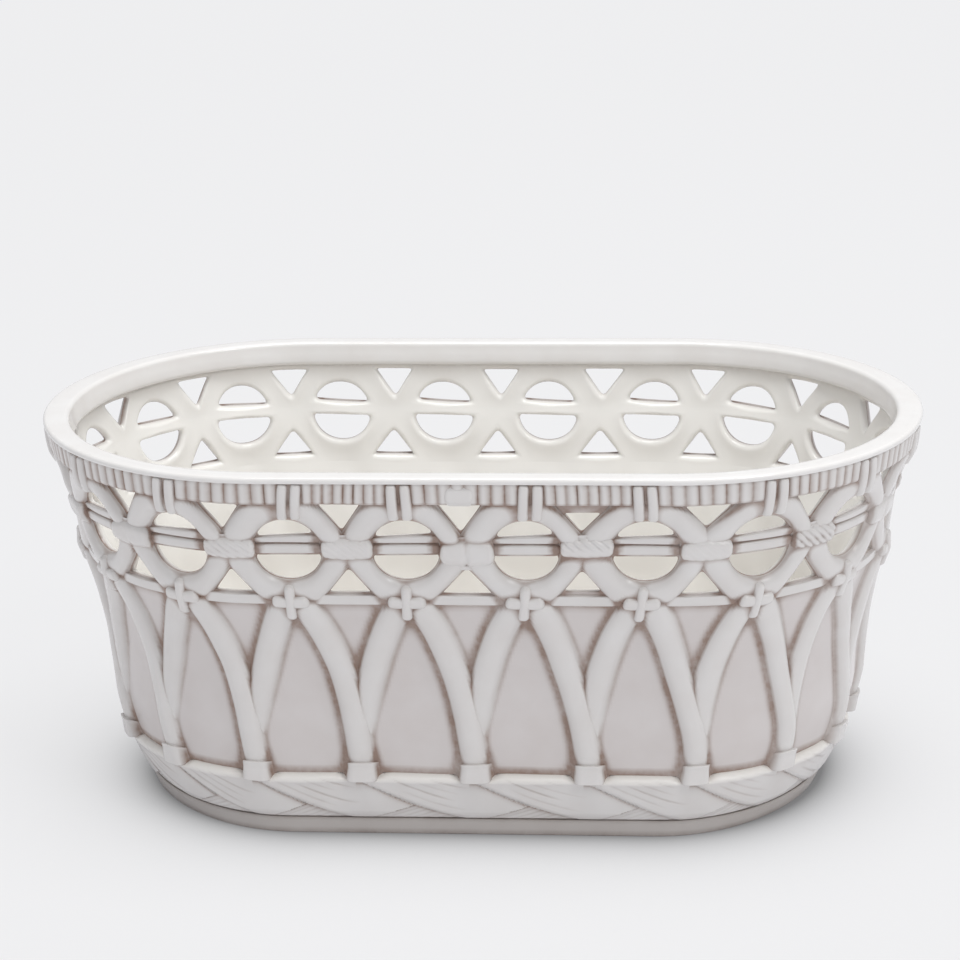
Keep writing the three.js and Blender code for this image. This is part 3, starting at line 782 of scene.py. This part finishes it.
def collar():
    """Upright reeds under the lip, eight between each two pairs of wraps.

    A reed is |sin|^0.42 across, so its top is broad and the groove beside it narrow.
    """
    a = round_the_oval(REED_STEPS)
    edges, phase = [], []
    for k in range(-1, MODULES + 1):
        middle = (k + 0.5) * PITCH + WRAP_SHIFTS.get(k % MODULES, 0.0)
        edges += [middle - WRAP_REACH, middle + WRAP_REACH]
        phase += [REEDS_BETWEEN_WRAPS * k, REEDS_BETWEEN_WRAPS * k]
    turn = np.interp(a, edges, phase)
    turn = turn + 0.14 * np.sin(2 * np.pi * turn * 0.37) * np.sin(np.pi * turn) ** 2
    groove = 1 - np.abs(np.sin(np.pi * turn)) ** 0.42
    z = np.array([COLLAR_TOP + 0.2, COLLAR_TOP + 0.2, *np.linspace(COLLAR_TOP - 0.6, COLLAR_Z + 1.6, 7),
                  COLLAR_Z + 0.8, COLLAR_Z + 0.2, COLLAR_Z, COLLAR_Z])
    radius = np.interp(z, (COLLAR_Z, COLLAR_TOP), (RIM_RADIUS - 2.5, RIM_RADIUS - 0.9))
    face = radius - panel_radius(z) - np.array([4, 0.4] + [0] * 7 + [0.25, 0.8, 1.6, 4.2])
    depth = np.array([0, 1] + [1.0] * 7 + [0.9, 0.5, 0.1, 0])
    d = face[None, :] - 1.25 * depth[None, :] * groove[:, None]
    grid_a, grid_z = np.meshgrid(a, z, indexing="ij")
    # The grooves darken with wash and painted shade, and a band along the collar's underside is a painted
    # shadow where the canes tuck under
    wash_and_shade = np.clip(groove[:, None] * 1.45 * depth[None, :] + 0.35 * (grid_z < COLLAR_Z + 1), 0, 1)
    return [part(grid_a, grid_z, d, wash_and_shade)]


def leaf_edge(x):
    """Height of a leaf's lower edge x past its cuff: steep at first, level where it meets the foot."""
    return 7.2 + 18.2 * (1 - np.clip((x - 1.5) / 45.5, 0, 1)) ** 1.35


def plait_relief(a, z):
    """Height, and wash with painted shade, of the plait at a point of its face.

    A leaf starts under each cuff and slopes down to the right. Above its lower edge its height
    climbs within 2 mm and then sinks slowly. Under the edge lies the tail of the leaf before it,
    and right of a slanting line the short strands that cross it the other way. Grooves follow the
    leaves about every 4 mm, each over a part of its length.
    """
    home = np.floor((a + 1.5) / PITCH)
    x = a - home * PITCH
    above = z >= leaf_edge(x)
    leaf = home - np.where(above, 0, 1)
    along = a - leaf * PITCH
    leaf = leaf % MODULES
    e = np.maximum(z - leaf_edge(along), 0) * np.cos(0.5 * (1 - np.clip(along / 45, 0, 1)))
    body = 1.9 * np.clip(e / 2.0, 0, 1) ** 0.5 - 0.05 * e
    counter = (x - 9.8) * 0.357 - (z - 9.2) * 0.934
    under = ~above & (counter > 0)
    spacing, cross_spacing = 3.7, 2.1
    lane = (e + 0.35 * np.sin(along / 14 + leaf) - 1.4) / spacing
    number = np.round(lane)
    start = 6 * np.sin(2.6 * number + 1.9 * leaf)
    fade = np.clip((along - 12 - start) / 6, 0, 1) * np.clip((44 + start - along) / 8, 0, 1)
    fade = fade * (number > 0.5) * (0.7 + 0.3 * np.cos(3.1 * number + leaf))
    groove = np.exp(-(((lane - number) * spacing / 0.36) ** 2)) * fade
    cross_lane = counter / cross_spacing
    cross = np.exp(-(((cross_lane - np.round(cross_lane)) * cross_spacing / 0.34) ** 2)) * 0.7
    height = np.where(under, 0.6 - 0.12 * counter - 0.3 * cross, body - 0.36 * groove)
    seam = np.where(under, 0.4 * cross + 0.9 * np.exp(-np.abs(counter) / 0.5), 0.5 * groove)
    # Just under each leaf's lower edge it darkens: painted shade under the overhang
    shade_under_leaf_edge = np.where(above, 0.0, np.exp(-(leaf_edge(x) - z) / 0.8))
    return height, np.clip(seam + shade_under_leaf_edge, 0, 1)


def plait():
    """Plaited band: its leaves on a battered face, a rounded ledge on top, and a flat back."""
    a = round_the_oval(PLAIT_STEPS)
    inner = RIM_RADIUS - 32.2
    outer = inner + 7.0
    ledge_foot = PLAIT_TOP - 3.2
    face_z = np.linspace(SHELL_Z + 0.3, ledge_foot, 42)
    face_r = outer - 4.0 + 3.2 * ((face_z - SHELL_Z) / (PLAIT_TOP - SHELL_Z)) ** 0.7
    turn = np.radians(np.linspace(0, 90, 10))
    ledge_z = ledge_foot + 3.6 * np.sin(turn)
    ledge_r = outer - 4.4 + 3.4 * np.cos(turn)
    z = np.array([SHELL_Z, SHELL_Z, *face_z, *ledge_z[1:], PLAIT_TOP + 0.4])
    radius = np.array([inner, outer - 4.6, *face_r, *ledge_r[1:], inner + 0.2])
    near_foot = list(np.clip(0.25 + (face_z - SHELL_Z) / 5, 0, 1))
    carry = np.array([0, 0.1] + near_foot + list(np.cos(turn[1:]) ** 0.7) + [0.0])
    grid_a, grid_z = np.meshgrid(a, z, indexing="ij")
    height, seam = plait_relief(grid_a, np.clip(grid_z, SHELL_Z, PLAIT_TOP))
    bulge = 0.9 * np.exp(-(((z - PLAIT_TOP + 1.6) / 2.8) ** 2))
    dip = 0.4 + 0.6 * np.cos(2 * np.pi * (a - STEM_SHIFT) / PITCH)[:, None]
    d = radius - panel_radius(z) + carry * height + bulge * (1 - dip)
    seam = seam * np.clip((PLAIT_TOP - 1.0 - grid_z) / 3, 0, 1)
    wash_and_shade = np.clip(seam * carry, 0, 1) * 0.9
    wash_and_shade[:, :3] = 0.5
    # Beside each cuff the ledge dips
    beside = np.abs((a - STEM_SHIFT + PITCH / 2) % PITCH - PITCH / 2) - CUFF[0] / 2
    dip = 1.3 * np.exp(-((np.maximum(beside, 0) / 3.2) ** 2))[:, None]
    grid_z = grid_z - dip * np.clip((z - ledge_foot) / 3, 0, 1)
    # The ledge takes the lining's whiter colour, a painted highlight on its rounded top, so it is whiter than
    # the leaves below it
    painted_ledge_highlight = 0.75 * np.clip((z - ledge_foot) / 2, 0, 1)
    return [part(grid_a, grid_z, d, wash_and_shade, painted_ledge_highlight)]


def foot_profile():
    """Plain foot band with a soft outer edge."""
    outer = RIM_RADIUS - 27.9
    points = [(FOOT_TOP, outer - 12), (0.8, outer - 12), (0.0, outer - 11.2), (0.0, outer - 0.8)]
    points += arc((0.6, outer - 0.6), 0.6, -80, 0, 5)
    points += [(3.0, outer), (5.5, outer - 0.2), (6.6, outer - 0.4), (FOOT_TOP + 0.2, outer - 0.9)]
    return over_panels(points)


# Glazes


def from_hex(code):
    """Linear colour of an sRGB hex value."""
    values = [int(code[i:i + 2], 16) / 255 for i in (0, 2, 4)]
    return [v / 12.92 if v <= 0.04045 else ((v + 0.055) / 1.055) ** 2.4 for v in values] + [1.0]


def add_node(tree, kind, settings=None, links=None):
    """Adds a node, sets its properties and inputs, and joins its inputs to other nodes' outputs.

    An input goes by its name, or by its number where the node has several of one name.
    """
    node = tree.nodes.new(kind)
    for key, value in (settings or {}).items():
        if isinstance(key, int) or key in node.inputs:
            node.inputs[key].default_value = value
        else:
            setattr(node, key, value)
    for key, output in (links or {}).items():
        tree.links.new(node.inputs[key], output)
    return node


# Patterns in the glaze, in repeats to a metre: clouds of about 15 mm from its varying thickness,
# streaks of about 2 mm in the wash and painted shade, and waves of about 12 mm in its surface
CLOUDS, STREAKS, WAVES = 65.0, 420.0, 80.0
NOISE_SPAN = {"From Min": 0.3, "From Max": 0.7}


def glaze(name, outer, wash_and_shade_colour, lining, roughness, waviness):
    """Glaze over fired clay: a wash with painted shade in the hollows, faint clouds in the colour, and a
    soft waviness.

    The wash is a thin brown stain that the glaze floats into the hollows, so it darkens them and leaves
    the raised parts white; its colour and amount also paint the shade of those hollows. It is thinner in
    some clouds and streaks. Where the inside attribute is set the colour turns to the lining's, which on
    the plait's ledge is a painted highlight.
    """
    material = bpy.data.materials.new(name)
    material.use_nodes = True
    tree = material.node_tree
    shader = tree.nodes["Principled BSDF"]
    shader.inputs["IOR"].default_value = 1.5
    place = {"Vector": add_node(tree, "ShaderNodeTexCoord").outputs["Object"]}
    amount, inside = [add_node(tree, "ShaderNodeAttribute", {"attribute_name": label}).outputs["Fac"]
                      for label in ("wash_and_shade", "inside")]
    clouds, streaks, waves = [
        add_node(tree, "ShaderNodeTexNoise", {"Scale": scale, "Detail": detail}, place).outputs["Fac"]
        for scale, detail in ((CLOUDS, 3.0), (STREAKS, 2.0), (WAVES, 1.0))]
    for noise, low, high, last in ((clouds, 0.72, 1.15, False), (streaks, 0.88, 1.1, True)):
        thin = add_node(tree, "ShaderNodeMapRange", {**NOISE_SPAN, "To Min": low, "To Max": high},
                        {"Value": noise})
        amount = add_node(tree, "ShaderNodeMath", {"operation": "MULTIPLY", "use_clamp": last},
                          {0: amount, 1: thin.outputs["Result"]}).outputs["Value"]
    tint = [c * share for c, share in zip(from_hex(outer), (0.91, 0.885, 0.87, 1.0))]
    cloud = add_node(tree, "ShaderNodeMix", {"data_type": "RGBA", 6: from_hex(outer), 7: tint}, {0: clouds})
    body = add_node(tree, "ShaderNodeMix", {"data_type": "RGBA", 7: from_hex(lining)},
                    {0: inside, 6: cloud.outputs[2]})
    stained = add_node(tree, "ShaderNodeMix", {"data_type": "RGBA", 7: from_hex(wash_and_shade_colour)},
                       {0: amount, 6: body.outputs[2]})
    tree.links.new(shader.inputs["Base Color"], stained.outputs[2])
    gloss = add_node(tree, "ShaderNodeMapRange",
                     {**NOISE_SPAN, "To Min": roughness * 0.92, "To Max": roughness * 1.1}, {"Value": clouds})
    tree.links.new(shader.inputs["Roughness"], gloss.outputs["Result"])
    bump = add_node(tree, "ShaderNodeBump", {"Strength": waviness, "Distance": 0.0008}, {"Height": waves})
    tree.links.new(shader.inputs["Normal"], bump.outputs["Normal"])
    return material


GLAZES = {
    # Satin white glaze with a taupe wash on the relief, as on creamware that was antiqued by hand; the wash
    # also paints the shade of the hollows
    "relief_glaze": glaze("White_satin_glaze_with_taupe_wash_and_painted_shade", "e1dfdd", "978175", "f4f1eb", 0.24, 0.07),
    # The same body, with a clear cream glaze inside that reflects more sharply
    "shell_glaze": glaze("White_and_cream_glaze_on_cast_body", "d9d4d2", "978175", "efede8", 0.15, 0.05),
    # Thick glossy white where the glaze runs level on the lip
    "lip_glaze": glaze("Thick_glossy_white_glaze", "edecea", "a08c80", "edecea", 0.13, 0.06),
    # Thin glaze on the foot, greyer where the clay shows through, and darker still as painted shade on this
    # band that faces a little down
    "foot_glaze": glaze("Thin_grey_glaze_on_the_foot_with_painted_shade", "bdb8b4", "6f5a4e", "bdb8b4", 0.35, 0.14),
}

# Pieces

build_piece("cast_bowl", cast_bowl(), "body_shell", "shell_glaze")
build_piece("pierced_band", pierced_band(), "body_shell", "shell_glaze")

a, z, d, *rest = hoop(*lip_profile(), 0.0)
end_share = np.exp(-(((np.abs((a / GIRTH + 0.5) % 1 - 0.5) - 0.25) / 0.08) ** 2))
d = d - LIP_WIDER_AT_ENDS * end_share * np.clip((RIM_RADIUS - 5 - panel_radius(z) - d) / 3, 0, 1)
build_piece("lip_and_throat", [(a, z, d, *rest)], "rim_lip", "lip_glaze")

z, d = foot_profile()
# The foot darkens along its lower edge, and at its top with painted shade where the plait overhangs it
wash_and_shade = np.clip(1 - z / 1.2, 0, 1) * 0.8 + np.clip((z - 6.4) * 1.2, 0, 1) * 0.4
build_piece("foot_band", [hoop(z, d, wash_and_shade)], "foot_ring", "foot_glaze")

wrap_parts = []
for k in range(MODULES):
    stand_off = WRAP_SHIFTS.get(k, 0.0)
    for wrap in twin_wraps(0.35 * stand_off):
        wrap_parts.append(outside(*sweep(wrap, (k + 0.5) * PITCH + stand_off)))
# A lump of glaze bridges three reeds at the middle of the front
lump = strand(line((-7.2, 167.6), (4.2, 167.6), 20), 3.6, 1.1, base=4.3, tip=1.8, power=6)
wrap_parts.append(outside(*sweep(lump)))
build_piece("reeded_collar_and_wraps", collar() + wrap_parts, "fluted_collar")

# Each binding's style round the oval: how far it sits off its line, its height, how deep its cord
# twist shows on the upper and lower strand, and how deep the crease between its two lobes is
KNOT_STYLES = (
    (-1.7, 1.2, 0.0, 0.0, 0.8),
    (1.3, 0.95, 0.9, 0.15, 0.0),
    (0.3, 1.0, 0.35, 0.2, 0.1),
    (0.5, 1.05, 1.0, 0.9, 0.0),
    (0.0, 1.1, 0.1, 0.0, 0.8),
    (0.2, 1.0, 0.6, 0.6, 0.0),
    (-0.4, 1.05, 0.2, 0.4, 0.3),
    (0.4, 0.98, 0.8, 0.5, 0.0),
    (0.0, 1.08, 0.0, 0.0, 0.9),
    (0.2, 1.0, 0.5, 0.3, 0.0),
)
# Those of the bindings left of the middle of the front, by number
FRONT_STYLES = {
    19: (0.3, 1.02, 0.45, 0.3, 0.0),
    18: (0.2, 1.0, 0.6, 0.45, 0.0),
    17: (0.0, 1.1, 0.1, 0.0, 0.4),
}
CORD_TURN = 3.9


def knot_twist(style):
    """Relief of a binding: two cord strands with slanting grooves, or two plain lobes and a crease."""
    lift, tall, upper, lower, crease = style

    def shape(a, z):
        up = (z - BINDING_Z - lift) / (BINDING[1] / 2 * tall)
        along = (a + 1.1 * (z - BINDING_Z)) / CORD_TURN
        share = lower + (upper - lower) * ease(0.5 + up / 0.5)
        twist = share * (1 - np.abs(np.sin(np.pi * along)) ** 0.85)
        between = max(upper, lower) * 0.4 * np.exp(-(((up + 0.15) / 0.2) ** 2))
        lobes = crease * (0.4 + 0.9 * np.clip(-up, 0, 1)) * np.exp(-(((a - 0.3) / 1.1) ** 2))
        return -1.1 * twist - 0.7 * between - 1.5 * lobes
    return shape


for k in range(MODULES):
    number = f"{k + 1:02d}"
    middle = (k + 0.5) * PITCH
    loops = [outside(*sweep(cane, middle)) for cane in (ring_cane(k), *web_reeds())]
    a, z, d, faces, wash_and_shade, lined = loops[0]
    loops[0] = a, z, d, faces, wash_and_shade * np.clip(0.35 + 0.65 * d / 1.6, 0.35, 1), lined
    build_piece(f"ring_cane_{number}", loops, f"ring_{number}")
    style = FRONT_STYLES.get(k, KNOT_STYLES[k % len(KNOT_STYLES)])
    knot = outside(*sweep(binding_knot(*style[:2]), k * PITCH, knot_twist(style), 35))
    build_piece(f"binding_knot_{number}", [knot], f"binding_{number}")

tie_parts = []
for k in range(MODULES):
    tie_parts.append(outside(*sweep(rail_strip(), k * PITCH)))
    tie_parts += [outside(*sweep(cane, (k + 0.5) * PITCH)) for cane in cross_tie()]
build_piece("rail_and_ties", tie_parts, "tie_rail")

for pair in range(MODULES // 2):
    number = f"{pair + 1:02d}"
    arch_parts = []
    for k in (2 * pair, 2 * pair + 1):
        arch_parts += [outside(*sweep(cane, (k + 0.5) * PITCH)) for cane in arch_canes()]
    build_piece(f"arch_canes_{number}", arch_parts, f"arch_pair_{number}")

cuff_parts = []
for k in range(MODULES):
    a, z, d, faces = sweep(cuff(), k * PITCH)
    # Its upper rim comes down toward the wall, so it reads level from a little above
    z = z - 0.3 * np.clip(5.5 - d, 0, 5.5) * np.clip((z - PLAIT_TOP - 3) / 4, 0, 1)
    cuff_parts.append(outside(a, z, d, faces))
build_piece("plait_and_cuffs", plait() + cuff_parts, "plaited_band")

# Studio: a pale floor, a plain sky, one broad lamp above and a small one in front

FLOOR_REACH = 12.0
floor_mesh = bpy.data.meshes.new("studio_floor")
floor_corners = [(x * FLOOR_REACH, y * FLOOR_REACH, 0) for x, y in ((-1, -1), (1, -1), (1, 1), (-1, 1))]
floor_mesh.from_pydata(floor_corners, [], [(0, 1, 2, 3)])
floor = bpy.data.objects.new("studio_floor", floor_mesh)
bpy.context.scene.collection.objects.link(floor)
paper = bpy.data.materials.new("Pale_paper_sweep")
paper.use_nodes = True
tree = paper.node_tree
paper_shader = tree.nodes["Principled BSDF"]
for label, value in (("Base Color", from_hex("ececee")), ("Roughness", 0.9), ("Specular IOR Level", 0.1)):
    paper_shader.inputs[label].default_value = value
floor_mesh.materials.append(paper)

# The camera sees the paper lifted toward an even pale grey, with the shadow kept. Close to the foot's outline
# the lift fades, which paints a contact shadow round the foot. The lengths are in metres
FOOT_HALF_STRAIGHT = 0.073
FOOT_RADIUS = 0.085
CONTACT_SHADOW_REACH = 0.014
CONTACT_SHADOW_DEPTH = 0.8
seen = add_node(tree, "ShaderNodeBsdfDiffuse", {"Color": from_hex("6a6a6b")})
spot = add_node(tree, "ShaderNodeNewGeometry").outputs["Position"]
depth = add_node(tree, "ShaderNodeSeparateXYZ", links={"Vector": spot}).outputs["Y"]
lift = add_node(tree, "ShaderNodeMapRange",
                {"From Min": 0.0, "From Max": 2.4, "To Min": 0.82, "To Max": 0.88}, {"Value": depth})
# Way from the foot's outline, which is two straight sides and two half circles
way = spot
for operation, length in (("ABSOLUTE", 0), ("SUBTRACT", FOOT_HALF_STRAIGHT), ("MAXIMUM", 0)):
    way = add_node(tree, "ShaderNodeVectorMath", {"operation": operation, 1: (length, 0, 0)},
                   {0: way}).outputs["Vector"]
kept = add_node(tree, "ShaderNodeVectorMath", {"operation": "LENGTH"}, {0: way}).outputs["Value"]
# Painted contact shadow: the lift is held back close to the foot's outline
for operation, number in (("SUBTRACT", FOOT_RADIUS), ("MAXIMUM", 0), ("DIVIDE", -CONTACT_SHADOW_REACH),
                          ("EXPONENT", 0), ("MULTIPLY", -CONTACT_SHADOW_DEPTH), ("ADD", 1)):
    kept = add_node(tree, "ShaderNodeMath", {"operation": operation, 1: number}, {0: kept}).outputs["Value"]
glow_with_contact_shadow = add_node(tree, "ShaderNodeMath", {"operation": "MULTIPLY"}, {0: lift.outputs["Result"], 1: kept})
glow = add_node(tree, "ShaderNodeEmission", {"Color": from_hex("eeeeef")},
                {"Strength": glow_with_contact_shadow.outputs["Value"]})
lifted = add_node(tree, "ShaderNodeAddShader", links={0: seen.outputs["BSDF"], 1: glow.outputs["Emission"]})
rays = add_node(tree, "ShaderNodeLightPath")
choose = add_node(tree, "ShaderNodeMixShader", links={
    "Fac": rays.outputs["Is Camera Ray"], 1: paper_shader.outputs["BSDF"], 2: lifted.outputs["Shader"]})
tree.links.new(tree.nodes["Material Output"].inputs["Surface"], choose.outputs["Shader"])

world = bpy.data.worlds.new("Studio_sky")
world.use_nodes = True
bpy.context.scene.world = world
sky = world.node_tree.nodes["Background"]
sky.inputs["Color"].default_value = (0.96, 0.97, 1.0, 1.0)
sky.inputs["Strength"].default_value = 0.58


def add_lamp(name, place, target, size, power):
    """Square area lamp that faces a target; places and size in metres, power in watts."""
    data = bpy.data.lights.new(name, "AREA")
    data.size = size
    data.energy = power
    lamp = bpy.data.objects.new(name, data)
    lamp.location = place
    lamp.rotation_euler = (Vector(target) - Vector(place)).to_track_quat("-Z", "Y").to_euler()
    bpy.context.scene.collection.objects.link(lamp)


add_lamp("Broad_lamp_above", (0.25, -0.1, 2.5), (0, 0, 0), 1.5, 36.0)
add_lamp("Small_lamp_at_the_front", (1.4, -1.3, 2.1), (0, 0, 0.1), 0.8, 12.0)

# Camera, from a fit of the oval's rim, foot and knots to the photograph
PITCH_DOWN, YAW, ROLL = 0.3133, -0.0774, -0.0201
DISTANCE, FOCAL_PIXELS, IMAGE_WIDTH = 1.3016, 2827.37, 960
TARGET = Vector((-0.001056, 0.0, 0.13866))
forward = Vector((math.sin(YAW) * math.cos(PITCH_DOWN), math.cos(YAW) * math.cos(PITCH_DOWN),
                  -math.sin(PITCH_DOWN)))
level = Vector((math.cos(YAW), -math.sin(YAW), 0))
upright = level.cross(forward)
right = math.cos(ROLL) * level + math.sin(ROLL) * upright
up = math.cos(ROLL) * upright - math.sin(ROLL) * level
camera_data = bpy.data.cameras.new("Camera")
camera_data.sensor_width = 36.0
camera_data.lens = FOCAL_PIXELS * camera_data.sensor_width / IMAGE_WIDTH
camera = bpy.data.objects.new("Camera", camera_data)
axes = Matrix((right, up, -forward)).transposed()
camera.matrix_world = Matrix.Translation(TARGET - forward * DISTANCE) @ axes.to_4x4()
bpy.context.scene.collection.objects.link(camera)
bpy.context.scene.camera = camera

bpy.context.scene.view_settings.view_transform = "Standard"
